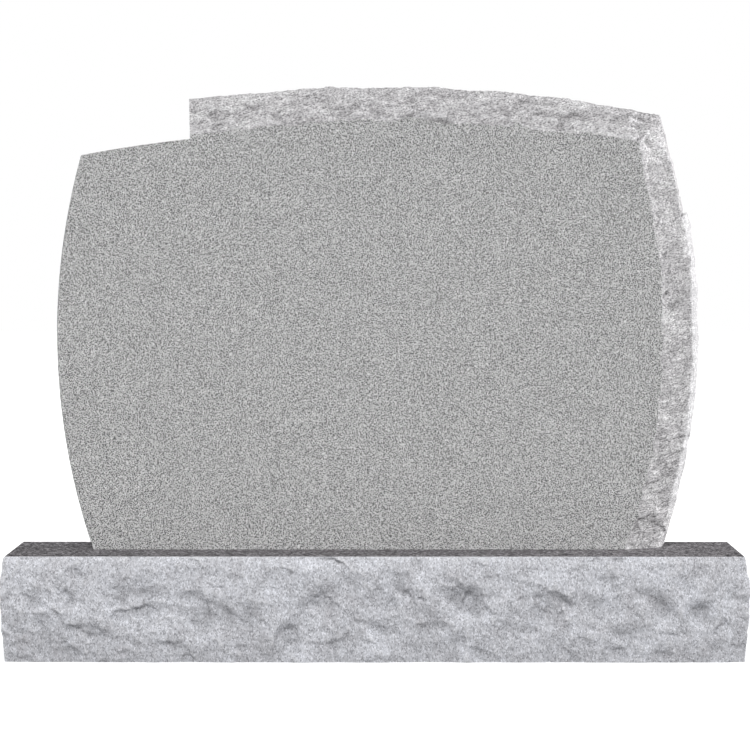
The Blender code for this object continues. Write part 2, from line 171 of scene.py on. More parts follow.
# Scars: one for each spacing along a side, their range of size and tilt, and the shell's form
SCAR_SPACING = 0.030
SCAR_RADII = (0.025, 0.085)
SCAR_TILTS = (-0.9, -0.2)
SCAR_FLOORS = (0.2, 0.7)
SCAR_STRETCH = 1.6
SCAR_CURVE = 0.010
SCAR_BLEND = 0.0015

# Ledges of the sides that the face does not show: spacing, and their range of size and tilt
LEDGE_SPACING = 0.036
LEDGE_HALF_WIDTHS = (0.012, 0.050)
LEDGE_TILT_SPREAD = 0.5
LEDGE_FALLS = (0.010, 0.040)
LEDGE_DROP_SHARES = (0.15, 0.40)
LEDGE_LEAST_DROP = 0.002
LEDGE_RISES = (-0.05, 0.15)

# Section through a ledge: how soft its lip is, its width to that of the lip, the share of the drop
# at the lip, and where it is deepest and ends, as shares of its fall
LEDGE_LIP = 0.0020
LEDGE_OVERLAP = 1.35
LEDGE_START = 0.12
LEDGE_DEEPEST = 0.7
LEDGE_END = 2.4

# Jags of the base's corners, and how far the fine break fades out at an edge
CORNER_JAG = 0.003
CORNER_JAG_SIZE = 0.030
FINE_FADE = 0.005

# Seeds of the random relief: the base's sides in turn from the front, its corners, the band's
# front and rear halves, and its fine break
BASE_SEEDS = (3, 14, 25, 36)
CORNER_SEEDS = (77, 78)
BAND_SEEDS = (47, 58)
BAND_FINE_SEED = 140

# What each kind of relief adds to the seed of its side
LEDGE_SEED = 7
WANDER_SEED = 20
JAG_SEED = 30
SCAR_EDGE_SEEDS = (50, 60)
LEDGE_EDGE_SEEDS = (70, 80)
FINE_SEED = 90
PLANE_EDGE_SEEDS = (0, 5)
PLANE_SEED = 200
NEXT_SIZE_SEED = 10

# How the fine break runs on each side: its tilt from level, and the length of a plane to its width
BASE_GRAIN = (-0.9, 1.4)
CREST_GRAIN = (-0.2, 2.0)
SIDE_GRAIN = (1.3, 2.0)

# How much further each finer size is tilted, and how steep, sharply parted and ragged planes are
GRAIN_TURN = 0.25
PLANE_TILT = 1.4
PLANE_BLEND = 20.0
PLANE_RAGGED = 0.35

# Broken planes of the fracture, down to single crystals: size, height and step between planes
BASE_BREAKS = ((0.075, 0.0040, 0.1), (0.034, 0.0024, 0.2), (0.016, 0.0011, 0.3), (0.008, 0.0005, 0.4))
CREST_BREAKS = ((0.050, 0.0072, 0.1), (0.026, 0.0048, 0.3), (0.013, 0.0025, 0.5), (0.007, 0.0014, 0.5))
SIDE_BREAKS = ((0.050, 0.0020, 0.1), (0.026, 0.0014, 0.3), (0.013, 0.0006, 0.5), (0.007, 0.0004, 0.5))

# The side breaks this much more coarsely towards the rear, over this share of the thickness
SIDE_REAR_BREAK = 1.4
SIDE_REAR_RUN = (0.22, 0.60)

# Ledges, in metres: start (X, Z) and end (X, Z) of the lip, drop, fall and rise of its middle.
# The hollow lies on the right of the way from start to end, so a way to the left makes a shelf.
FRONT_LEDGES = (
    (-0.503, 0.159, -0.392, 0.144, 0.0108, 0.044, 0.003),
    (-0.492, 0.132, -0.469, 0.124, 0.0019, 0.010, 0.0),
    (-0.426, 0.121, -0.400, 0.113, 0.0026, 0.012, 0.0),
    (-0.380, 0.145, -0.334, 0.144, 0.0051, 0.014, -0.003),
    (-0.338, 0.147, -0.288, 0.075, 0.0072, 0.034, 0.004),
    (-0.250, 0.117, -0.181, 0.117, 0.0046, 0.026, 0.0),
    (-0.208, 0.151, -0.189, 0.144, 0.0026, 0.014, 0.0),
    (-0.162, 0.121, -0.051, 0.176, 0.0072, 0.030, -0.002),
    (-0.081, 0.167, -0.051, 0.178, 0.0026, 0.012, 0.0),
    (-0.047, 0.088, 0.007, 0.084, 0.0026, 0.012, 0.0),
    (-0.189, 0.078, -0.143, 0.078, 0.0132, 0.036, 0.008),
    (-0.653, 0.117, -0.614, 0.086, 0.0054, 0.022, 0.0),
    (-0.587, 0.076, -0.561, 0.075, 0.0058, 0.014, 0.001),
    (-0.557, 0.082, -0.503, 0.067, 0.0061, 0.024, 0.002),
    (-0.534, 0.075, -0.507, 0.063, 0.0032, 0.012, 0.0),
    (-0.595, 0.053, -0.549, 0.015, 0.0045, 0.014, 0.0),
    (-0.419, 0.050, -0.369, 0.050, 0.0064, 0.016, -0.003),
    (-0.495, 0.025, -0.463, 0.025, 0.0026, 0.008, 0.0),
    (-0.400, 0.015, -0.350, 0.015, 0.0032, 0.010, 0.004),
    (-0.281, 0.038, -0.240, 0.034, 0.0038, 0.008, 0.0),
    (-0.710, 0.011, -0.664, 0.015, 0.0032, 0.008, 0.0),
    (0.018, 0.186, 0.072, 0.174, 0.0084, 0.034, 0.002),
    (0.034, 0.144, 0.072, 0.144, 0.0026, 0.014, 0.0),
    (0.149, 0.147, 0.210, 0.144, 0.0084, 0.034, 0.003),
    (0.298, 0.147, 0.402, 0.140, 0.0108, 0.044, 0.004),
    (0.360, 0.128, 0.390, 0.121, 0.0026, 0.012, 0.0),
    (0.429, 0.168, 0.471, 0.165, 0.0038, 0.018, 0.0),
    (0.409, 0.132, 0.459, 0.124, 0.0038, 0.024, 0.0),
    (0.519, 0.197, 0.544, 0.178, 0.0026, 0.014, 0.0),
    (0.547, 0.174, 0.570, 0.136, 0.0032, 0.018, 0.0),
    (0.072, 0.075, 0.137, 0.080, 0.0046, 0.022, 0.003),
    (-0.001, 0.086, 0.041, 0.073, 0.0038, 0.022, 0.0),
    (0.367, 0.082, 0.425, 0.078, 0.0038, 0.016, 0.003),
    (0.455, 0.075, 0.532, 0.075, 0.0108, 0.032, 0.004),
    (0.547, 0.061, 0.597, 0.061, 0.0045, 0.007, -0.001),
    (0.444, 0.027, 0.486, 0.032, 0.0038, 0.008, 0.0),
    (0.536, 0.025, 0.574, 0.025, 0.0038, 0.008, 0.0),
    (0.601, 0.121, 0.651, 0.117, 0.0108, 0.034, 0.003),
    (0.605, 0.184, 0.628, 0.178, 0.0026, 0.014, 0.0),
    (0.647, 0.063, 0.674, 0.084, 0.0045, 0.012, 0.0),
    (0.639, 0.040, 0.670, 0.044, 0.0046, 0.020, 0.0),
    (0.678, 0.159, 0.712, 0.140, 0.0032, 0.014, 0.0),
    (0.682, 0.140, 0.712, 0.113, 0.0032, 0.014, 0.0),
    (0.176, 0.042, 0.245, 0.015, 0.0032, 0.010, 0.0),
    (0.206, 0.170, 0.229, 0.167, 0.0032, 0.010, 0.0),
    (0.237, 0.082, 0.268, 0.078, 0.0026, 0.018, 0.0),
    (0.195, 0.069, 0.095, 0.134, 0.0072, 0.030, 0.0),
    (-0.633, 0.140, -0.668, 0.163, 0.0026, 0.012, 0.0),
    (-0.660, 0.109, -0.691, 0.128, 0.0019, 0.010, 0.0),
    (-0.411, 0.159, -0.438, 0.186, 0.0031, 0.020, 0.0),
    (0.563, 0.075, 0.501, 0.113, 0.0072, 0.030, 0.0),
    (0.049, 0.088, -0.032, 0.098, 0.0031, 0.024, 0.0),
    (0.291, 0.098, 0.210, 0.109, 0.0060, 0.030, 0.0),
    (0.440, 0.178, 0.394, 0.195, 0.0026, 0.012, 0.0),
    (0.605, 0.117, 0.570, 0.140, 0.0031, 0.024, 0.0),
    (0.095, 0.167, 0.061, 0.178, 0.0026, 0.014, 0.0),
    (-0.526, 0.178, -0.557, 0.186, 0.0019, 0.012, 0.0),
    (-0.572, 0.151, -0.595, 0.159, 0.0019, 0.014, 0.0),
)
BAND_LEDGES = (
    (-0.333, 1.080, -0.302, 1.065, 0.0054, 0.010, 0.0),
    (-0.274, 1.078, -0.239, 1.082, 0.0087, 0.022, 0.002),
    (-0.235, 1.071, -0.195, 1.073, 0.0076, 0.010, -0.002),
    (-0.207, 1.102, -0.177, 1.100, 0.0054, 0.010, 0.0),
    (-0.246, 1.100, -0.223, 1.096, 0.0054, 0.010, 0.0),
    (-0.179, 1.065, -0.136, 1.080, 0.0099, 0.022, 0.002),
    (-0.167, 1.090, -0.128, 1.102, 0.0054, 0.010, 0.0),
    (-0.144, 1.057, -0.108, 1.053, 0.0087, 0.016, 0.004),
    (-0.073, 1.082, -0.017, 1.108, 0.0087, 0.016, 0.0),
    (-0.013, 1.090, 0.018, 1.094, 0.0076, 0.026, 0.0),
    (-0.116, 1.086, -0.096, 1.065, 0.0054, 0.012, 0.0),
    (0.026, 1.108, 0.077, 1.108, 0.0054, 0.012, 0.0),
    (0.054, 1.061, 0.097, 1.055, 0.0099, 0.014, 0.003),
    (0.093, 1.067, 0.152, 1.092, 0.0099, 0.014, -0.003),
    (0.152, 1.098, 0.180, 1.098, 0.0054, 0.012, 0.0),
    (0.178, 1.094, 0.196, 1.069, 0.0065, 0.016, 0.0),
    (0.204, 1.063, 0.223, 1.059, 0.0054, 0.008, 0.0),
    (0.212, 1.088, 0.247, 1.096, 0.0054, 0.010, 0.0),
    (0.271, 1.092, 0.295, 1.096, 0.0054, 0.010, 0.0),
    (0.255, 1.053, 0.306, 1.065, 0.0099, 0.020, 0.003),
    (0.334, 1.082, 0.366, 1.069, 0.0065, 0.012, 0.0),
    (0.350, 1.059, 0.389, 1.063, 0.0065, 0.016, 0.004),
    (0.401, 1.063, 0.429, 1.069, 0.0087, 0.020, 0.0),
    (0.460, 1.023, 0.508, 1.027, 0.0087, 0.022, 0.006),
    (0.456, 1.051, 0.476, 1.033, 0.0054, 0.012, 0.0),
    (0.512, 1.051, 0.555, 1.061, 0.0076, 0.014, 0.0),
    (0.535, 1.021, 0.571, 1.023, 0.0065, 0.016, 0.0),
    (0.535, 0.990, 0.575, 1.003, 0.0045, 0.016, 0.0),
    (0.527, 0.968, 0.547, 0.974, 0.0038, 0.010, 0.0),
    (0.555, 0.966, 0.583, 0.976, 0.0038, 0.010, 0.0),
    (0.520, 0.919, 0.567, 0.922, 0.0064, 0.018, -0.002),
    (0.567, 0.907, 0.599, 0.919, 0.0038, 0.010, 0.0),
    (0.553, 0.879, 0.579, 0.875, 0.0038, 0.010, 0.0),
    (0.541, 0.844, 0.563, 0.851, 0.0045, 0.018, 0.0),
    (0.551, 0.802, 0.583, 0.794, 0.0051, 0.012, 0.0),
    (0.579, 0.794, 0.606, 0.814, 0.0051, 0.012, 0.0),
    (0.599, 0.768, 0.618, 0.768, 0.0038, 0.012, 0.0),
    (0.555, 0.768, 0.571, 0.757, 0.0032, 0.010, 0.0),
    (0.563, 0.737, 0.595, 0.745, 0.0038, 0.008, 0.0),
    (0.571, 0.690, 0.626, 0.721, 0.0058, 0.024, 0.002),
    (0.579, 0.721, 0.595, 0.717, 0.0026, 0.008, 0.0),
    (0.579, 0.599, 0.622, 0.618, 0.0029, 0.016, 0.0),
    (0.595, 0.571, 0.626, 0.595, 0.0043, 0.020, 0.0),
    (0.555, 0.488, 0.591, 0.490, 0.0034, 0.010, -0.002),
    (0.603, 0.449, 0.622, 0.476, 0.0024, 0.012, 0.0),
    (0.553, 0.429, 0.579, 0.425, 0.0024, 0.012, 0.0),
    (0.595, 0.421, 0.622, 0.429, 0.0029, 0.012, 0.0),
    (0.547, 0.387, 0.583, 0.399, 0.0034, 0.010, 0.0),
    (0.579, 0.393, 0.614, 0.399, 0.0024, 0.010, 0.0),
    (0.527, 0.326, 0.595, 0.326, 0.0038, 0.012, -0.003),
    (0.589, 0.305, 0.579, 0.267, 0.0024, 0.012, 0.0),
    (-0.045, 1.051, -0.104, 1.047, 0.0054, 0.016, 0.0),
    (0.389, 1.025, 0.326, 1.029, 0.0054, 0.016, 0.0),
    (0.626, 0.686, 0.587, 0.670, 0.0032, 0.014, 0.0),
    (0.579, 0.938, 0.539, 0.934, 0.0026, 0.012, 0.0),
    (0.603, 0.828, 0.567, 0.828, 0.0026, 0.014, 0.0),
    (0.610, 0.528, 0.567, 0.520, 0.0019, 0.014, 0.0),
    (0.587, 0.358, 0.543, 0.350, 0.0019, 0.014, 0.0),
)

# Scars that break the corner of the band: place, radius, tilt, floor
CORNER_SCARS = (
    ((0.552, 1.036), 0.050, -0.8, 0.000),
)

# Bites where the border of the smooth face leaves its bow: place, half width, reach
BORDER_BITES = (
    ((-0.250, 1.030), 0.040, -0.004),
    ((-0.167, 1.040), 0.030, -0.003),
    ((-0.063, 1.043), 0.020, 0.003),
    ((-0.013, 1.046), 0.016, 0.006),
    ((0.038, 1.046), 0.014, -0.003),
    ((0.075, 1.045), 0.028, 0.009),
    ((0.131, 1.043), 0.020, -0.003),
    ((0.275, 1.031), 0.014, 0.009),
    ((0.360, 1.020), 0.040, 0.002),
    ((0.440, 1.006), 0.060, 0.009),
    ((0.500, 1.000), 0.022, 0.010),
    ((0.527, 0.922), 0.008, -0.007),
    ((0.535, 0.898), 0.012, 0.003),
    ((0.554, 0.755), 0.030, 0.003),
    ((0.561, 0.535), 0.030, 0.003),
    ((0.548, 0.440), 0.050, 0.003),
    ((0.541, 0.385), 0.012, 0.003),
    ((0.515, 0.270), 0.026, 0.006),
)

# Proud edges, for bruises and painted highlight, and hollows, for dust and painted shade: rounds of
# averaging, and the height that counts in full
RIDGE_MARK = (10, 0.0015)
BASE_HOLLOW_MARK = (160, 0.0060)
BAND_HOLLOW_MARK = (120, 0.0050)

# Granite, with the roughness and specular level of each finish
GRANITE_IOR = 1.55
STEELED_GLOSS = (0.62, 0.25)
HONED_GLOSS = (0.55, 0.10)
PITCHED_GLOSS = (0.88, 0.15)

# Grains, in millimetres. The real ones, of about 1 mm, are too fine to show from this far, so
# the grains of the darker top and of the broken stone are drawn two to four times as coarse.
# Noise of WARP_SIZE grains bends them, by WARP_REACH metres for each millimetre of grain.
STEELED_GRAIN = 1.2
HONED_GRAIN = 3.8
PITCHED_GRAIN = 2.4
WARP_SIZE = 1.4
WARP_REACH = 0.0012

# Flakes of black mica: spacing in millimetres, scatter and radius to spacing. They are drawn
# coarser than the real ones for the same reason. The face's spacing goes 56 times into the
# tablet's thickness, which puts both smooth faces near the middle of a layer of flakes.
FACE_FLAKES = (2.714, 0.90, 0.34)
PITCHED_FLAKES = (2.8, 0.75, 0.34)
FLAKE_EDGE = 0.07

# Clouds, mottle and grit in millimetres, how far clouds shade the face, and bumps in metres
CLOUD_SIZE = 45.0
CLOUD_NOISE = (0.3, 0.7)
CLOUD_SHADES = (0.99, 1.01)
MOTTLE_SIZE = 70.0
GRIT_SIZE = 8.0
GRIT_DEPTH = 0.0025
CRYSTAL_BUMP = (0.15, 0.0003)

# Where proud edges begin to be made paler, as bruises and painted highlight; how pale the freshly
# broken stone outside the rim is, partly a painted highlight; which hollows are darkened by dust
# and painted shade; and how high and how dark the painted shade towards the foot is
BRUISE_AND_HIGHLIGHT_START = 0.35
RIM_PALENESS_AND_HIGHLIGHT = 0.20
DUST_AND_SHADE_HOLLOWS = (-0.1, -0.8)
FOOT_SHADE_HEIGHT = 0.13
FOOT_SHADE_KEPT = 0.92

# Colours in sRGB: minerals of the granite by their share, tints by their noise, and the rest
STEELED_MINERALS = ((0.0, "8C8C8C"), (0.18, "AEAEAE"), (0.50, "BBBBBB"), (0.80, "D9D9D9"))
HONED_MINERALS = ((0.0, "060607"), (0.18, "434044"), (0.50, "6F6C6F"), (0.82, "B3B0B3"))
PITCHED_MINERALS = ((0.0, "ACACAC"), (0.16, "C9C9C9"), (0.50, "D8D8D8"), (0.82, "EEEEEE"))
BASE_TINTS = ((0.30, "CCCBD0"), (0.50, "E1E2E8"), (0.70, "F5F7FF"))
BAND_TINTS = ((0.30, "C3C1C3"), (0.50, "E4E2E4"), (0.70, "FFFFFF"))
# Pale colour of bruises and freshly broken stone, also used as a painted highlight
PALE_BREAK_AND_HIGHLIGHT = "E8E8EA"
FLOOR_WHITE = "F8F8F8"

# The two pitched finishes: tints, turn and stretch of the drawn crystals, the share of light that
# a flake keeps, and how strongly proud edges are made paler, as bruises and painted highlight, and
# hollows darker, by dust and painted shade
BASE_PITCHED = (BASE_TINTS, 0.0, (0.80, 0.80, 1.25), 1.0, 0.20, 0.24)
BAND_PITCHED = (BAND_TINTS, -18.0, (1.9, 1.9, 0.75), 0.42, 0.20, 0.26)

# Edges that turn by less than this, in degrees, are shaded smooth
SMOOTH_ANGLE = 40.0

# The studio: for each light its strength, and in degrees its softness, its azimuth to the right
# of the front, and its height
FLOOR_SIZE = 60.0
FLOOR_GLOW = 0.35
SURROUND_LIGHT = 0.30
STUDIO_LIGHTS = (
    ("key_light", 2.8, 30.0, -8.0, 42.0),
    ("fill_light", 0.68, 40.0, 40.0, 4.0),
    ("right_light", 4.4, 16.0, 110.0, 8.0),
)


def deselect_all():
    """Leave nothing selected, so that an operator acts on the new piece alone."""
    if bpy.context.mode != "OBJECT":
        bpy.ops.object.mode_set(mode="OBJECT")
    bpy.ops.object.select_all(action="DESELECT")


def values_of(elements, name, width, kind=np.float32):
    """One property of each of these elements of a mesh, as rows of this width."""
    values = np.empty(len(elements) * width, kind)
    elements.foreach_get(name, values)
    return values.reshape(-1, width)


def stop_editing():
    """Go back from the piece's mesh to the piece as a whole."""
    bpy.ops.object.mode_set(mode="OBJECT")


def points_of(piece):
    """The piece's vertices as rows of X, Y, Z."""
    return values_of(piece.data.vertices, "co", 3).astype(float)


def put_points(piece, points):
    """Move the piece's vertices to these rows of X, Y, Z."""
    piece.data.vertices.foreach_set("co", points.astype(np.float32).ravel())
    piece.data.update()


def choose(piece, domain, chosen):
    """Select these edges or faces of the piece alone, and start to edit it."""
    mesh = piece.data
    for elements in (mesh.vertices, mesh.edges, mesh.polygons):
        elements.foreach_set("select", np.zeros(len(elements), bool))
    getattr(mesh, domain).foreach_set("select", chosen)
    edges = domain == "edges"
    bpy.context.tool_settings.mesh_select_mode = (False, edges, not edges)
    bpy.ops.object.mode_set(mode="EDIT")


def edge_ends(piece):
    """The two ends of each edge: their vertex numbers, and their places."""
    ends = values_of(piece.data.edges, "vertices", 2, np.int32)
    points = points_of(piece)
    return ends, points[ends[:, 0]], points[ends[:, 1]]


def face_normals(piece):
    """The faces' normals as rows of X, Y, Z."""
    return values_of(piece.data.polygons, "normal", 3)


def face_sizes(piece):
    """How many sides each face has."""
    return values_of(piece.data.polygons, "loop_total", 1, np.int32)[:, 0]


def vertex_normals(piece):
    """The vertices' normals as rows of X, Y, Z."""
    return values_of(piece.data.vertex_normals, "vector", 3).astype(float)


def store(piece, name, values):
    """Store a value for each vertex of the piece under this name."""
    mark = piece.data.attributes.new(name, "FLOAT", "POINT")
    mark.data.foreach_set("value", values.astype(np.float32))


def smooth_step(low, high, value):
    """Rise softly from 0 at low to 1 at high."""
    share = np.clip((value - low) / (high - low), 0.0, 1.0)
    return share * share * (3.0 - 2.0 * share)


def knot(column, row, seed):
    """A random value between -1 and 1 for each knot of a unit lattice."""
    mixed = column * 374761393 + row * 668265263 + seed * 974634777
    mixed = (mixed ^ (mixed >> 13)) * 1274126177
    mixed = mixed ^ (mixed >> 16)
    return (mixed & 0xFFFF) / 32767.5 - 1.0


def lattice_noise(x, y, seed):
    """Smooth noise between -1 and 1 over a unit lattice."""
    column = np.floor(x).astype(np.int64)
    row = np.floor(y).astype(np.int64)
    right = smooth_step(0.0, 1.0, x - column)
    above = smooth_step(0.0, 1.0, y - row)
    low = knot(column, row, seed) * (1.0 - right) + knot(column + 1, row, seed) * right
    high = knot(column, row + 1, seed) * (1.0 - right) + knot(column + 1, row + 1, seed) * right
    return low * (1.0 - above) + high * above


def turned(u, v, place, tilt):
    """Distances from a place, along and across a direction tilted from level."""
    along = (u - place[0]) * math.cos(tilt) + (v - place[1]) * math.sin(tilt)
    across = (v - place[1]) * math.cos(tilt) - (u - place[0]) * math.sin(tilt)
    return along, across


def broken(u, v, size, height, seed):
    """Broken ground: each octave is half as wide and half as high as the last."""
    total = 0.0
    for octave in range(RELIEF_OCTAVES):
        along, across = turned(u, v, (0.0, 0.0), LATTICE_TURN + OCTAVE_TURN * octave)
        total = total + height * lattice_noise(along / size, across / size, seed + octave)
        size *= OCTAVE_SHRINK
        height *= OCTAVE_SHRINK
    return total


def split_planes(u, v, size, height, step, seed):
    """Tilted planes of split crystal, one around each point of a shaken lattice."""
    column = np.floor(u / size).astype(np.int64)
    row = np.floor(v / size).astype(np.int64)
    weights = 0.0
    ground = 0.0
    for columns_on in (-1, 0, 1):
        for rows_on in (-1, 0, 1):
            cell = (column + columns_on, row + rows_on)
            right = u - (cell[0] + 0.5 + 0.5 * knot(*cell, seed)) * size
            above = v - (cell[1] + 0.5 + 0.5 * knot(*cell, seed + 1)) * size
            tilt = (right * knot(*cell, seed + 3) + above * knot(*cell, seed + 4)) / size
            weight = np.exp(-PLANE_BLEND * (right ** 2 + above ** 2) / size ** 2)
            weights = weights + weight
            ground = ground + weight * height * (step * knot(*cell, seed + 2) + PLANE_TILT * tilt)
    return ground / (weights + 1e-12)


def off_edges(*distances):
    """Fade the fine break in over these distances from the edges."""
    return math.prod(smooth_step(0.0, FINE_FADE, distance) for distance in distances)


def ragged(u, v, size, reach, seed, edge_seeds):
    """The places shifted by broken ground, so that what is cut at them has ragged edges."""
    shifted_u = u + broken(u, v, size, reach, seed + edge_seeds[0])
    shifted_v = v + broken(u, v, size, reach, seed + edge_seeds[1])
    return shifted_u, shifted_v


def fine_break(u, v, breaks, tilt, stretch, seed):
    """The finer break of the rock: split planes with ragged outlines, in a few sizes."""
    total = 0.0
    for number, (size, height, step) in enumerate(breaks):
        shifted = ragged(u, v, size, PLANE_RAGGED * size, seed, PLANE_EDGE_SEEDS)
        along, across = turned(*shifted, (0.0, 0.0), tilt + GRAIN_TURN * number)
        total = total + split_planes(along / stretch, across, size, height, step, seed + PLANE_SEED)
        seed += NEXT_SIZE_SEED
    return total


def strike_scars(place_at, length, floor, seed):
    """Shallow shells struck off a side: place, radius, tilt and floor of each."""
    chance = random.Random(seed)
    scars = []
    for _ in range(round(length / SCAR_SPACING)):
        place = place_at(chance.random(), chance.random())
        radius = chance.uniform(*SCAR_RADII)
        tilt = chance.uniform(*SCAR_TILTS)
        scars.append((place, radius, tilt, floor * chance.uniform(*SCAR_FLOORS)))
    return scars


def strike_ledges(place_at, length, seed):
    """Ledges where a blow broke the stone under a lip, most of them nearly level."""
    chance = random.Random(seed + LEDGE_SEED)
    ledges = []
    for _ in range(round(length / LEDGE_SPACING)):
        x, z = place_at(chance.random(), chance.random())
        half = chance.uniform(*LEDGE_HALF_WIDTHS)
        tilt = chance.gauss(0.0, LEDGE_TILT_SPREAD)
        right = half * math.cos(tilt)
        up = half * math.sin(tilt)
        fall = chance.uniform(*LEDGE_FALLS)
        drop = chance.uniform(*LEDGE_DROP_SHARES) * fall + LEDGE_LEAST_DROP
        rise = chance.uniform(*LEDGE_RISES) * half
        ledges.append((x - right, z - up, x + right, z + up, drop, fall, rise))
    return ledges


def cut_scar(ground, u, v, scar):
    """Lower the ground to the shell of a scar where it reaches below it."""
    place, radius, tilt, floor = scar
    along, across = turned(u, v, place, tilt)
    bowl = floor + SCAR_CURVE * ((along / (SCAR_STRETCH * radius)) ** 2 + (across / radius) ** 2)
    share = np.clip(0.5 + 0.5 * (bowl - ground) / SCAR_BLEND, 0.0, 1.0)
    return bowl * (1.0 - share) + ground * share - SCAR_BLEND * share * (1.0 - share)


def cut_ledge(ground, u, v, ledge):
    """Break a hollow out under a lip, deepest just below it."""
    start_x, start_z, end_x, end_z, drop, fall, rise = ledge
    middle = ((start_x + end_x) / 2, (start_z + end_z) / 2)
    width = LEDGE_OVERLAP * math.hypot(end_x - start_x, end_z - start_z)
    along, above = turned(u, v, middle, math.atan2(end_z - start_z, end_x - start_x))
    bow = np.clip(1.0 - (2.0 * along / width) ** 2, 0.0, None)
    above = above - rise * bow
    under = 1.0 / (1.0 + np.exp(np.clip(above / LEDGE_LIP, -30.0, 30.0)))
    below = np.clip(-above, 0.0, None) / fall
    hollow = LEDGE_START + (1.0 - LEDGE_START) * smooth_step(0.0, LEDGE_DEEPEST, below)
    risen = 1.0 - smooth_step(LEDGE_DEEPEST, LEDGE_END, below)
    return ground - drop * bow * under * hollow * risen


def pitch(ground, u, v, scars, ledges, seed):
    """Strike scars and ledges off the ground, all with ragged edges."""
    shifted = ragged(u, v, RAGGED_SIZE, RAGGED_REACH, seed, SCAR_EDGE_SEEDS)
    for scar in scars:
        ground = cut_scar(ground, *shifted, scar)
    shifted = ragged(u, v, RAGGED_SIZE / 2, RAGGED_REACH / 3, seed, LEDGE_EDGE_SEEDS)
    for ledge in ledges:
        ground = cut_ledge(ground, *shifted, ledge)
    return ground


def bow_of(start, end, radius):
    """Centre and sweep of the arc from start to end that swells to the left of the way."""
    start = np.array(start)
    end = np.array(end)
    chord = end - start
    half = np.linalg.norm(chord) / 2
    left = np.array((-chord[1], chord[0])) / (2 * half)
    centre = (start + end) / 2 - left * math.sqrt(radius ** 2 - half ** 2)
    return centre, 2 * math.asin(half / radius)


def bowed(start, end, radius, segments):
    """Points of that arc."""
    centre, sweep = bow_of(start, end, radius)
    first = np.array(start) - centre
    angles = math.atan2(first[1], first[0]) - sweep * np.linspace(0.0, 1.0, segments + 1)
    return centre + radius * np.column_stack((np.cos(angles), np.sin(angles)))


def swell_profile(z, foot_share):
    """Share of the swell at height z: none at the top arris, most above mid-height."""
    below_arris = np.clip(1.0 - z / BASE_HEIGHT, 0.0, 1.0)
    return np.sin(math.pi * foot_share * below_arris ** SWELL_RISE)


def side_relief(u, z, swell, foot_share, length, ledges, seed):
    """How far a pitched side of the base stands out, at u from its middle and height z."""
    def place_at(along, up):
        return (along - 0.5) * length, up * BASE_HEIGHT

    below_arris = 1.0 - z / BASE_HEIGHT
    fade = smooth_step(0.0, ARRIS_FADE, below_arris)
    broad = broken(u, z, BROAD_SIZE, BROAD_HEIGHT * swell / FRONT_SWELL, seed)
    ground = swell * swell_profile(z, foot_share) + broad * fade
    scars = strike_scars(place_at, length, swell, seed)
    if ledges is None:
        ledges = strike_ledges(place_at, length, seed)
    ground = pitch(ground, u, z, scars, ledges, seed)
    return np.where(below_arris > NEAR, ground, 0.0)


def pitched_side(points, number, corner, along, out, length, swell, foot_share, ledges, seed):
    """The vertices of one flat side of the base, and how they move to its pitched surface."""
    offset = points[:, :2] - corner
    on_side = np.abs(offset @ out) < NEAR
    u = np.clip(offset[on_side] @ along, 0.0, length)
    z = points[on_side, 2]
    relief = side_relief(u - length / 2, z, swell, foot_share, length, ledges, seed)
    to_corner = np.minimum(u, length - u)
    inner = smooth_step(0.0, CORNER_REACH, to_corner)
    nearest = np.where(u < length / 2, number, (number + 1) % 4) + 0.0
    jag = CORNER_JAG * lattice_noise(z / CORNER_JAG_SIZE, nearest, CORNER_SEEDS[0])
    jag = jag + CORNER_JAG / 2 * lattice_noise(z / CORNER_JAG_SIZE * 3, nearest, CORNER_SEEDS[1])
    at_corner = (END_SWELL + jag) * swell_profile(z, END_FOOT_SHARE) * (1.0 - inner)
    sideways = at_corner * np.where(u < length / 2, -1.0, 1.0)
    fine = fine_break(u, z, BASE_BREAKS, *BASE_GRAIN, seed + FINE_SEED)
    outward = relief * inner + at_corner + fine * off_edges(BASE_HEIGHT - z, to_corner)
    return on_side, np.outer(sideways, along) + np.outer(outward, out)


def fill_loop(piece, height):
    """Close the open end of the piece at this height with one flat face."""
    _, first, second = edge_ends(piece)
    level = (np.abs(first[:, 2] - height) < NEAR) & (np.abs(second[:, 2] - height) < NEAR)
    choose(piece, "edges", level)
    bpy.ops.mesh.edge_face_add()
    stop_editing()


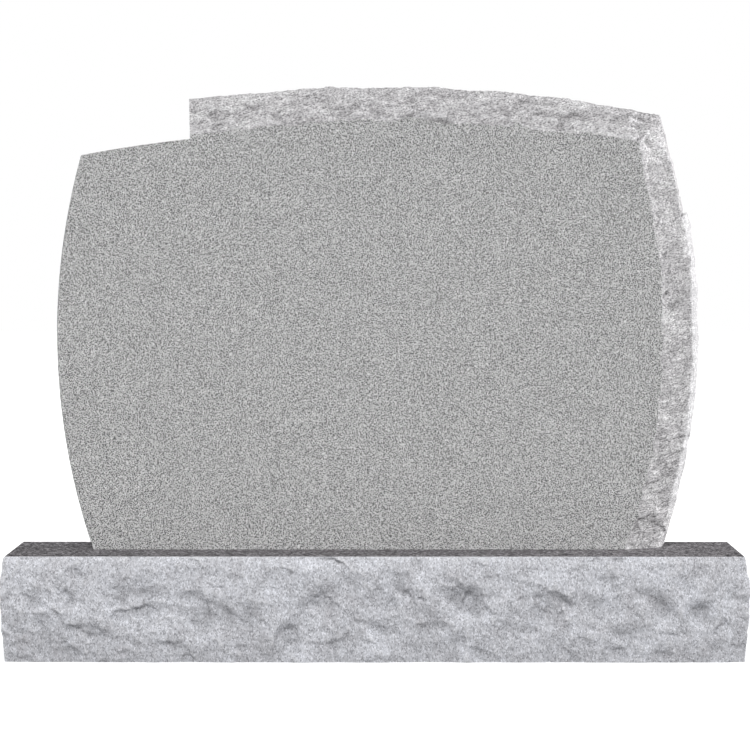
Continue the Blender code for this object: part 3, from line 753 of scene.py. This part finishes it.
def model_base():
    """The block that the tablet stands on: a cube whose four sides are subdivided and pitched."""
    deselect_all()
    size = (BASE_WIDTH, BASE_DEPTH, BASE_HEIGHT)
    bpy.ops.mesh.primitive_cube_add(size=1.0, location=(0.0, 0.0, BASE_HEIGHT / 2), scale=size)
    base = bpy.context.object
    base.name = "rock_pitched_base"
    bpy.ops.object.transform_apply(location=True, rotation=True, scale=True)
    bpy.ops.object.mode_set(mode="EDIT")
    cuts = [(BASE_WIDTH * (panel / FRONT_PANELS - 0.5), (1, 0, 0)) for panel in range(1, FRONT_PANELS)]
    for place, across in (*cuts, (0.0, (0, 1, 0))):
        bpy.ops.mesh.select_all(action="SELECT")
        bpy.ops.mesh.bisect(plane_co=(place, 0.0, 0.0), plane_no=across)
    stop_editing()
    choose(base, "polygons", np.abs(face_normals(base)[:, 2]) > LEVEL)
    bpy.ops.mesh.delete(type="FACE")
    bpy.ops.mesh.select_all(action="SELECT")
    bpy.ops.mesh.subdivide(number_cuts=PANEL_CUTS)
    stop_editing()

    points = points_of(base)
    right = BASE_WIDTH / 2
    rear = BASE_DEPTH / 2
    long_side = (BASE_WIDTH, FRONT_SWELL, FRONT_FOOT_SHARE)
    short_side = (BASE_DEPTH, END_SWELL, END_FOOT_SHARE)
    sides = (
        ((-right, -rear), (1, 0), (0, -1), *long_side, FRONT_LEDGES),
        ((right, -rear), (0, 1), (1, 0), *short_side, None),
        ((right, rear), (-1, 0), (0, 1), *long_side, None),
        ((-right, rear), (0, -1), (-1, 0), *short_side, None),
    )
    moved = points.copy()
    for number, side in enumerate(sides):
        on_side, move = pitched_side(points, number, *side, BASE_SEEDS[number])
        moved[on_side, :2] = points[on_side, :2] + move
    put_points(base, moved)
    fill_loop(base, BASE_HEIGHT)
    fill_loop(base, 0.0)
    return base


def mark_relief(piece, name, rounds, depth):
    """Store how far each point stands proud of the surface averaged around it, over depth."""
    points = points_of(piece)
    count = len(points)
    ends, _, _ = edge_ends(piece)
    neighbours = 1 + np.bincount(ends.ravel(), minlength=count)
    average = points
    for _ in range(rounds):
        total = average.copy()
        for axis in range(3):
            total[:, axis] += np.bincount(ends[:, 0], average[ends[:, 1], axis], count)
            total[:, axis] += np.bincount(ends[:, 1], average[ends[:, 0], axis], count)
        average = total / neighbours[:, None]
    proud = ((points - average) * vertex_normals(piece)).sum(axis=1) / depth
    store(piece, name, np.clip(proud, -1.0, 1.0))


def spin_bow(start, end, radius, segments):
    """Spin the selected end of the outline along its next bow."""
    centre, sweep = bow_of(start, end, radius)
    bpy.ops.mesh.spin(
        steps=segments, angle=sweep, center=(centre[0], FACE_Y, centre[1]), axis=(0.0, -1.0, 0.0)
    )


def band_edge(start, corner, foot, top_bow, side_bow):
    """Points along the border or the crest, one for each column of the band."""
    top = bowed(start, corner, top_bow, TOP_COLUMNS)
    side = bowed(corner, foot, side_bow, SIDE_COLUMNS)
    return np.concatenate((top, side[1:]))


def run_along(row):
    """Distance of each point of a row from its first point, along the row."""
    return np.concatenate(([0.0], np.cumsum(np.linalg.norm(np.diff(row, axis=0), axis=1))))


def border_wander(border, run, seed):
    """How far the ragged border of the smooth face lies outside its bow."""
    level = np.zeros_like(run)
    wander = broken(run, level, WANDER_SIZE, BORDER_WANDER, seed + WANDER_SEED)
    wander = wander + broken(run, level, BORDER_JAG_SIZE, BORDER_JAG, seed + JAG_SEED)
    wander = wander * smooth_step(0.0, BORDER_EASE, run)
    for place, half_width, reach in BORDER_BITES:
        distance = np.hypot(border[:, 0] - place[0], border[:, 1] - place[1])
        wander = wander + reach * np.exp(-(distance / half_width) ** 2)
    return wander


def band_half(share, ledges, seed):
    """X and Z of one half of the band, at these shares of the way from border to crest."""
    border = band_edge(BORDER_START, BORDER_CORNER, BORDER_FOOT, BORDER_TOP_BOW, BORDER_SIDE_BOW)
    crest = band_edge(CREST_START, CREST_CORNER, CREST_FOOT, CREST_TOP_BOW, CREST_SIDE_BOW)
    rise = crest - border
    out = rise / np.linalg.norm(rise, axis=1)[:, None]
    run = run_along(crest)
    above_step = crest[:, 1] - SIDE_STEP_HEIGHT
    below_step = smooth_step(SIDE_STEP_RUN, -SIDE_STEP_RUN, above_step)
    below_corner = smooth_step(0.0, SIDE_INSET_RUN, CREST_CORNER[1] - crest[:, 1])
    turned_back = smooth_step(SIDE_TURN_RUN, 0.0, above_step)
    crest_out = SIDE_STEP_OUT * below_step - SIDE_INSET * below_corner * (1.0 - below_step)

    def place_at(along, up):
        column = FINER * round(along * (len(border) - 1) / FINER)
        return border[column] + rise[column] * up

    scars = strike_scars(place_at, run[-1], 2 * BAND_DEPTH, seed)
    scars.extend(CORNER_SCARS)
    if ledges is None:
        ledges = strike_ledges(place_at, run[-1], seed)
    wander = border_wander(border, run, seed)
    flat = np.interp(share, (0.0, RIM_SHARE, 1.0), (0.0, SIDE_LIFT, 1.0))
    rim = np.interp(share, (0.0, RIM_SHARE, 1.0), (0.0, RIM_LIFT, 1.0))
    side = flat * (1.0 - turned_back) + rim * turned_back
    rounded = 1.0 - (1.0 - share) ** BAND_ROUNDNESS
    lift = rounded * (1.0 - below_corner) + side * below_corner
    plain = border + rise * lift[..., None]
    x, z = plain[..., 0], plain[..., 1]
    broad = broken(x, z, BAND_BROAD_SIZE, BAND_BROAD_HEIGHT, seed)
    ground = pitch(BAND_DEPTH + broad, x, z, scars, ledges, seed) - BAND_DEPTH
    inner = smooth_step(0.0, BORDER_FADE, share)
    inner = inner * (1.0 - CREST_CALM * smooth_step(CREST_CALM_START, 1.0, share))
    inner = inner * (1.0 - RIM_CALM * below_corner * smooth_step(RIM_SHARE - RIM_FADE, RIM_SHARE, share))
    inner = inner * smooth_step(0.0, FOOT_CALM, z - TABLET_FOOT)
    over_side = np.clip(share / RIM_SHARE, 0.0, 1.0) * (1.0 - turned_back)
    over_side = over_side + smooth_step(*RIM_TURN, share) * turned_back
    to_crest = share * (1.0 - below_corner) + over_side * below_corner
    outward = wander * (1.0 - share) ** 2 + ground * inner + crest_out * to_crest
    return plain + out * outward[..., None]


def at_step_foot(points):
    """Whether each point is on the concave corner below the step."""
    return np.hypot(points[:, 0] - STEP_FOOT[0], points[:, 2] - STEP_FOOT[1]) < NEAR


def band_grid(points):
    """Numbers of the band's vertices, in rows from front to back and columns from step to foot."""
    x, y, z = points.T
    on_band = (x > BORDER_START[0] - NEAR) & ~at_step_foot(points)
    numbers = np.flatnonzero(on_band)
    row = np.rint((y[numbers] - FACE_Y) / TABLET_THICKNESS * BAND_ROWS)
    turn = np.arctan2(z[numbers] - BAND_PIVOT, x[numbers])
    order = np.lexsort((-turn, row))
    return numbers[order].reshape(BAND_ROWS + 1, TOP_COLUMNS + SIDE_COLUMNS + 1)


def band_break(placed, share, run):
    """How far the fine break lifts each point of the band, in its rows and columns."""
    step = np.diff(placed, axis=0, prepend=placed[:1])
    across = np.cumsum(np.linalg.norm(step, axis=2), axis=0)
    weight = off_edges(across, across[-1] - across, run, run[-1] - run)
    weight = weight * (1.0 - CREST_FINE_CALM * smooth_step(CREST_FINE_START, 1.0, share))
    top_run, side_run = np.split(np.broadcast_to(run, share.shape), [TOP_COLUMNS], axis=1)
    top_across, side_across = np.split(across, [TOP_COLUMNS], axis=1)
    on_top = fine_break(top_run, top_across, CREST_BREAKS, *CREST_GRAIN, BAND_FINE_SEED)
    on_side = fine_break(side_run, side_across, SIDE_BREAKS, *SIDE_GRAIN, BAND_FINE_SEED)
    depth = np.arange(len(share))[:, None] / BAND_ROWS
    on_side = on_side * (1.0 + SIDE_REAR_BREAK * smooth_step(*SIDE_REAR_RUN, depth))
    return np.concatenate((on_top, on_side), axis=1) * weight


def mark_pale_lit_rim(tablet, grid, height, share):
    """Store how fully each point lies outside the side's rim, painted paler there, in part as a highlight.
    """
    rim_pale_and_lit = smooth_step(RIM_SHARE - RIM_EDGE, RIM_SHARE + RIM_EDGE, share)
    rim_pale_and_lit = rim_pale_and_lit * smooth_step(SIDE_STEP_HEIGHT, SIDE_STEP_HEIGHT - SIDE_STEP_RUN, height)
    rim_pale_and_lit = rim_pale_and_lit * smooth_step(RIM_FOOT, RIM_FOOT + RIM_FOOT_FADE, height)
    rim_pale_and_lit[:, :TOP_COLUMNS] = 0.0
    marked = np.zeros(len(tablet.data.vertices))
    marked[grid] = rim_pale_and_lit
    store(tablet, "rim", marked)


def pitch_band(tablet):
    """Move the edge walls above the border out to the rock-pitched band, and break it finely."""
    points = points_of(tablet)
    grid = band_grid(points)
    half = BAND_ROWS // 2
    share = 1.0 - np.abs(1.0 - 2.0 * np.arange(BAND_ROWS + 1)[:, None] / BAND_ROWS)
    share = np.broadcast_to(share, grid.shape)
    front = band_half(share[:half + 1], BAND_LEDGES, BAND_SEEDS[0])
    rear = band_half(share[half + 1:], None, BAND_SEEDS[1])
    outline = np.concatenate((front, rear))
    points[grid, 0] = outline[..., 0]
    points[grid, 2] = outline[..., 1]
    run = run_along(outline[half])
    to_mitre = run - run[TOP_COLUMNS]
    ease = MITRE_EASE * 4.0 * share * (1.0 - share) * np.exp(-(to_mitre / MITRE_REACH) ** 2)
    ease[half + 1:] *= -1.0
    points[grid, 1] += ease
    put_points(tablet, points)
    fine = band_break(points[grid], share, run)
    points[grid] += vertex_normals(tablet)[grid] * fine[..., None]
    put_points(tablet, points)
    mark_pale_lit_rim(tablet, grid, points[grid, 2], share)


def model_tablet():
    """The upright stone: its outline is spun, filled and drawn back, and its band is pitched."""
    deselect_all()
    corner = (LEFT_FOOT[0], FACE_Y, LEFT_FOOT[1])
    bpy.ops.mesh.primitive_plane_add(size=0.01, location=corner)
    tablet = bpy.context.object
    tablet.name = "steeled_tablet"
    bpy.ops.object.transform_apply(location=True, rotation=True, scale=True)
    bpy.context.tool_settings.mesh_select_mode = (True, False, False)
    bpy.ops.object.mode_set(mode="EDIT")
    bpy.ops.mesh.select_all(action="SELECT")
    bpy.ops.mesh.merge(type="CENTER")
    spin_bow(LEFT_FOOT, LEFT_SHOULDER, LEFT_BOW, LEFT_SEGMENTS)
    spin_bow(LEFT_SHOULDER, STEP_FOOT, SLOPE_BOW, SLOPE_SEGMENTS)
    step_up = (0.0, 0.0, BORDER_START[1] - STEP_FOOT[1])
    bpy.ops.mesh.extrude_region_move(TRANSFORM_OT_translate={"value": step_up})
    spin_bow(BORDER_START, BORDER_CORNER, BORDER_TOP_BOW, TOP_COLUMNS)
    spin_bow(BORDER_CORNER, BORDER_FOOT, BORDER_SIDE_BOW, SIDE_COLUMNS)
    bpy.ops.mesh.select_all(action="SELECT")
    bpy.ops.mesh.edge_face_add()
    bpy.ops.mesh.extrude_region_move(TRANSFORM_OT_translate={"value": (0.0, TABLET_THICKNESS, 0.0)})
    stop_editing()

    _, first, second = edge_ends(tablet)
    drawn_back = np.abs(first[:, 1] - second[:, 1]) > TABLET_THICKNESS / 2
    over_border = (first[:, 0] > BORDER_START[0] - NEAR) & ~at_step_foot(first)
    choose(tablet, "edges", drawn_back & over_border)
    bpy.ops.mesh.subdivide(number_cuts=BAND_ROWS - 1)
    bpy.ops.mesh.select_all(action="SELECT")
    bpy.ops.mesh.normals_make_consistent(inside=False)
    stop_editing()
    pitch_band(tablet)
    wear_arrises(tablet)
    return tablet


def on_band(tablet):
    """Which faces of the tablet belong to its rock-pitched band."""
    x, _, z = values_of(tablet.data.polygons, "center", 3).T
    over_border = (x > BORDER_START[0]) | (z > BORDER_START[1])
    return (face_sizes(tablet) == 4) & over_border


def wear_arrises(tablet):
    """Round the sawn arrises of the smooth left side, shoulder and step very slightly."""
    _, first, second = edge_ends(tablet)
    smooth = (first[:, 0] < BORDER_START[0] + NEAR) & (second[:, 0] < BORDER_START[0] + NEAR)
    along_face = np.abs(first[:, 1] - second[:, 1]) < NEAR
    to_middle = np.abs(first[:, 1] - FACE_Y - TABLET_THICKNESS / 2)
    at_face = np.abs(to_middle - TABLET_THICKNESS / 2) < NEAR
    shoulder = np.hypot(first[:, 0] - LEFT_SHOULDER[0], first[:, 2] - LEFT_SHOULDER[1]) < NEAR
    choose(tablet, "edges", (along_face & at_face & smooth) | (shoulder & ~along_face))
    bpy.ops.mesh.bevel(offset=ARRIS, segments=2, affect="EDGES")
    stop_editing()


def linear(code):
    """An sRGB hex colour as the linear colour that a shader takes."""
    channels = [int(code[place:place + 2], 16) / 255 for place in (0, 2, 4)]
    return (*[c / 12.92 if c <= 0.04045 else ((c + 0.055) / 1.055) ** 2.4 for c in channels], 1.0)


def feed(tree, node, inputs):
    """Link a node's inputs, or set their values."""
    for socket, value in inputs.items():
        if isinstance(value, bpy.types.NodeSocket):
            tree.links.new(value, node.inputs[socket])
        else:
            node.inputs[socket].default_value = value


def add_node(tree, kind, settings=None, inputs=None, stops=None):
    """Add a shader node with its settings, and link its inputs or set their values."""
    made = tree.nodes.new("ShaderNode" + kind)
    for name, value in (settings or {}).items():
        setattr(made, name, value)
    feed(tree, made, inputs or {})
    for number, (place, code) in enumerate(stops or ()):
        elements = made.color_ramp.elements
        stop = elements[number] if number < len(elements) else elements.new(place)
        stop.position = place
        stop.color = linear(code)
    return made


def per_metre(size_mm):
    """Texture scale that gives features of this size."""
    return 1000.0 / size_mm


def new_finish(name, roughness, specular):
    """A material with a plain shader, and its object coordinates."""
    finish = bpy.data.materials.new(name)
    finish.use_nodes = True
    tree = finish.node_tree
    shader = tree.nodes["Principled BSDF"]
    feed(tree, shader, {"Roughness": roughness, "Specular IOR Level": specular, "IOR": GRANITE_IOR})
    place = add_node(tree, "TexCoord").outputs["Object"]
    return finish, tree, shader, place


def crystals(tree, place, size_mm, stops):
    """Interlocked crystals: a colour for each grain by its mineral, and a random value."""
    warp = add_node(
        tree, "TexNoise", None,
        {"Vector": place, "Scale": per_metre(WARP_SIZE * size_mm), "Detail": 1.0},
    )
    centred = add_node(
        tree, "VectorMath", {"operation": "SUBTRACT"},
        {0: warp.outputs["Color"], 1: (0.5, 0.5, 0.5)},
    )
    shaken = add_node(
        tree, "VectorMath", {"operation": "MULTIPLY_ADD"},
        {0: centred.outputs[0], 1: (size_mm * WARP_REACH,) * 3, 2: place},
    )
    grains = add_node(
        tree, "TexVoronoi", {"feature": "F1"},
        {"Vector": shaken.outputs[0], "Scale": per_metre(size_mm)},
    )
    chance = add_node(tree, "SeparateColor", None, {"Color": grains.outputs["Color"]})
    mineral = add_node(tree, "ValToRGB", None, {"Fac": chance.outputs["Red"]}, stops=stops)
    mineral.color_ramp.interpolation = "CONSTANT"
    return mineral.outputs["Color"], chance.outputs["Green"]


def dimmed(tree, colour, value, seen, kept):
    """The colour, keeping more or less of its light as a value crosses the range seen."""
    share = add_node(
        tree, "MapRange", None,
        {"Value": value, "From Min": seen[0], "From Max": seen[1], "To Min": kept[0], "To Max": kept[1]},
    )
    return add_node(
        tree, "VectorMath", {"operation": "SCALE"},
        {0: colour, "Scale": share.outputs["Result"]},
    ).outputs[0]


def flaked(tree, place, size_mm, scatter, reach, kept, colour):
    """The colour with flakes of black mica, one for each cell, which keep this share of light."""
    cells = add_node(
        tree, "TexVoronoi", {"feature": "F1"},
        {"Vector": place, "Scale": per_metre(size_mm), "Randomness": scatter},
    )
    return dimmed(tree, colour, cells.outputs["Distance"], (reach, reach + FLAKE_EDGE), (kept, 1.0))


def steeled_granite():
    """Grey granite ground with steel shot: a matt, even face with small black flakes."""
    finish, tree, shader, place = new_finish("steeled_face_granite", *STEELED_GLOSS)
    colour, chance = crystals(tree, place, STEELED_GRAIN, STEELED_MINERALS)
    cloud = add_node(
        tree, "TexNoise", None,
        {"Vector": place, "Scale": per_metre(CLOUD_SIZE), "Detail": 4.0, "Roughness": 0.7},
    )
    shaded = dimmed(tree, colour, cloud.outputs["Fac"], CLOUD_NOISE, CLOUD_SHADES)
    dotted = flaked(tree, place, *FACE_FLAKES, 0.0, shaded)
    bump = add_node(
        tree, "Bump", None,
        {"Height": chance, "Strength": CRYSTAL_BUMP[0], "Distance": CRYSTAL_BUMP[1]},
    )
    feed(tree, shader, {"Base Color": dotted, "Normal": bump.outputs["Normal"]})
    return finish


def honed_granite():
    """The same granite rubbed smooth: much darker, as if wet, with a faint sheen."""
    finish, tree, shader, place = new_finish("honed_top_granite", *HONED_GLOSS)
    colour, _ = crystals(tree, place, HONED_GRAIN, HONED_MINERALS)
    feed(tree, shader, {"Base Color": colour})
    return finish


def pitched_granite(name, tints, turn, stretch, kept, bruise_and_highlight, dust_and_shade):
    """Granite broken with a pitching tool: split crystals scatter light, so it is pale.

    The break draws the crystals and their black flakes out a little. Proud edges are paler, as
    bruises and as painted highlight; the stone outside the side's rim is paler, freshly broken and
    with a painted highlight; hollows are darker with dust and painted shade; and the foot is
    darker with painted shade.
    """
    finish, tree, shader, place = new_finish(name, *PITCHED_GLOSS)
    drawn = add_node(
        tree, "Mapping", {"vector_type": "TEXTURE"},
        {"Vector": place, "Rotation": (0.0, math.radians(turn), 0.0), "Scale": stretch},
    ).outputs[0]
    colour, _ = crystals(tree, drawn, PITCHED_GRAIN, PITCHED_MINERALS)
    dotted = flaked(tree, drawn, *PITCHED_FLAKES, kept, colour)
    mottle = add_node(
        tree, "TexNoise", None,
        {"Vector": drawn, "Scale": per_metre(MOTTLE_SIZE), "Detail": 5.0, "Roughness": 0.95},
    )
    tint = add_node(tree, "ValToRGB", None, {"Fac": mottle.outputs["Fac"]}, stops=tints)
    tinted = add_node(tree, "VectorMath", {"operation": "MULTIPLY"}, {0: dotted, 1: tint.outputs["Color"]})
    bruised_and_highlighted = tinted.outputs[0]
    # Proud edges and the stone outside the rim are mixed towards a pale colour: bruises and freshly broken
    # stone, and partly a painted highlight
    for mark, start, most in (("ridge", BRUISE_AND_HIGHLIGHT_START, bruise_and_highlight), ("rim", 0.0, RIM_PALENESS_AND_HIGHLIGHT)):
        stored = add_node(tree, "Attribute", {"attribute_name": mark})
        share = add_node(
            tree, "MapRange", None,
            {"Value": stored.outputs["Fac"], "From Min": start, "To Max": most},
        )
        bruised_and_highlighted = add_node(
            tree, "Mix", {"data_type": "RGBA"},
            {"Factor": share.outputs["Result"], "A": bruised_and_highlighted, "B": linear(PALE_BREAK_AND_HIGHLIGHT)},
        ).outputs["Result"]
    # Hollows are darkened: dust, and partly painted shade
    hollow = add_node(tree, "Attribute", {"attribute_name": "hollow"})
    dusty_and_shaded = dimmed(tree, bruised_and_highlighted, hollow.outputs["Fac"], DUST_AND_SHADE_HOLLOWS, (1.0, 1.0 - dust_and_shade))
    # Painted shade: the stone is darker towards the foot
    height = add_node(tree, "SeparateXYZ", None, {"Vector": place})
    foot_shaded = dimmed(tree, dusty_and_shaded, height.outputs["Z"], (0.0, FOOT_SHADE_HEIGHT), (FOOT_SHADE_KEPT, 1.0))
    grit = add_node(
        tree, "TexNoise", None,
        {"Vector": drawn, "Scale": per_metre(GRIT_SIZE), "Detail": 3.0, "Roughness": 0.7},
    )
    bump = add_node(
        tree, "Bump", None,
        {"Height": grit.outputs["Fac"], "Strength": 1.0, "Distance": GRIT_DEPTH},
    )
    feed(tree, shader, {"Base Color": foot_shaded, "Normal": bump.outputs["Normal"]})
    return finish


def finish_piece(piece, finishes, choice):
    """Give the piece its finishes, each face the number of its own, and soft shading.

    The broad flat faces, which have more than four sides, are shaded flat.
    """
    piece.data.materials.clear()
    for finish in finishes:
        piece.data.materials.append(finish)
    piece.data.polygons.foreach_set("material_index", choice.astype(np.int32))
    deselect_all()
    piece.select_set(True)
    bpy.context.view_layer.objects.active = piece
    bpy.ops.object.shade_smooth_by_angle(angle=math.radians(SMOOTH_ANGLE))
    choose(piece, "polygons", face_sizes(piece) > 4)
    bpy.ops.mesh.faces_shade_flat()
    stop_editing()


def set_camera():
    """The photograph's view."""
    data = bpy.data.cameras.new("photo_view")
    data.sensor_width = SENSOR_MM
    data.lens = SENSOR_MM * PHOTO_FOCAL / PHOTO_SIDE
    camera = bpy.data.objects.new("photo_view", data)
    bpy.context.scene.collection.objects.link(camera)
    camera.location = CAMERA_PLACE
    drop = math.atan(HORIZON_ABOVE_MIDDLE / PHOTO_FOCAL)
    turn = math.atan(CAMERA_LEFT_OF_MIDDLE / PHOTO_FOCAL)
    camera.rotation_euler = (math.pi / 2 - drop, 0.0, -turn)
    bpy.context.scene.camera = camera


def set_studio():
    """A pale floor, a white surround, a light from above in front, and two low ones from the right."""
    deselect_all()
    bpy.ops.mesh.primitive_plane_add(size=FLOOR_SIZE)
    floor = bpy.context.object
    floor.name = "studio_floor"
    # The floor throws no light back on the stone, and its faint glow keeps it white
    floor.visible_diffuse = False
    paint = bpy.data.materials.new("matt_white_paint")
    paint.use_nodes = True
    white = linear(FLOOR_WHITE)
    feed(paint.node_tree, paint.node_tree.nodes["Principled BSDF"], {
        "Base Color": white, "Roughness": 1.0, "Specular IOR Level": 0.0,
        "Emission Color": white, "Emission Strength": FLOOR_GLOW,
    })
    floor.data.materials.append(paint)

    for name, strength, softness, azimuth, height in STUDIO_LIGHTS:
        data = bpy.data.lights.new(name, "SUN")
        data.energy = strength
        data.angle = math.radians(softness)
        light = bpy.data.objects.new(name, data)
        bpy.context.scene.collection.objects.link(light)
        light.rotation_euler = (math.radians(90.0 - height), 0.0, math.radians(azimuth))

    world = bpy.data.worlds.new("studio_surround")
    bpy.context.scene.world = world
    world.use_nodes = True
    tree = world.node_tree
    # The surround is white to look at, and lights the stone only faintly
    seen = add_node(tree, "LightPath").outputs["Is Camera Ray"]
    strength = add_node(tree, "MapRange", None, {"Value": seen, "To Min": SURROUND_LIGHT, "To Max": 1.0})
    surround = {"Color": (1.0, 1.0, 1.0, 1.0), "Strength": strength.outputs["Result"]}
    feed(tree, tree.nodes["Background"], surround)
    bpy.context.scene.view_settings.view_transform = "Standard"


set_camera()
set_studio()

steeled = steeled_granite()
honed = honed_granite()
pitched_base = pitched_granite("rock_pitched_base_granite", *BASE_PITCHED)
pitched_band = pitched_granite("rock_pitched_band_granite", *BAND_PITCHED)

base = model_base()
mark_relief(base, "ridge", *RIDGE_MARK)
mark_relief(base, "hollow", *BASE_HOLLOW_MARK)
on_top = (face_normals(base)[:, 2] > LEVEL) & (face_sizes(base) > 4)
finish_piece(base, (pitched_base, honed), on_top)
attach(base, "root")
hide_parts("base")

tablet = model_tablet()
mark_relief(tablet, "ridge", *RIDGE_MARK)
mark_relief(tablet, "hollow", *BAND_HOLLOW_MARK)
finish_piece(tablet, (steeled, pitched_band), on_band(tablet))
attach(tablet, "root")
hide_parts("tablet")
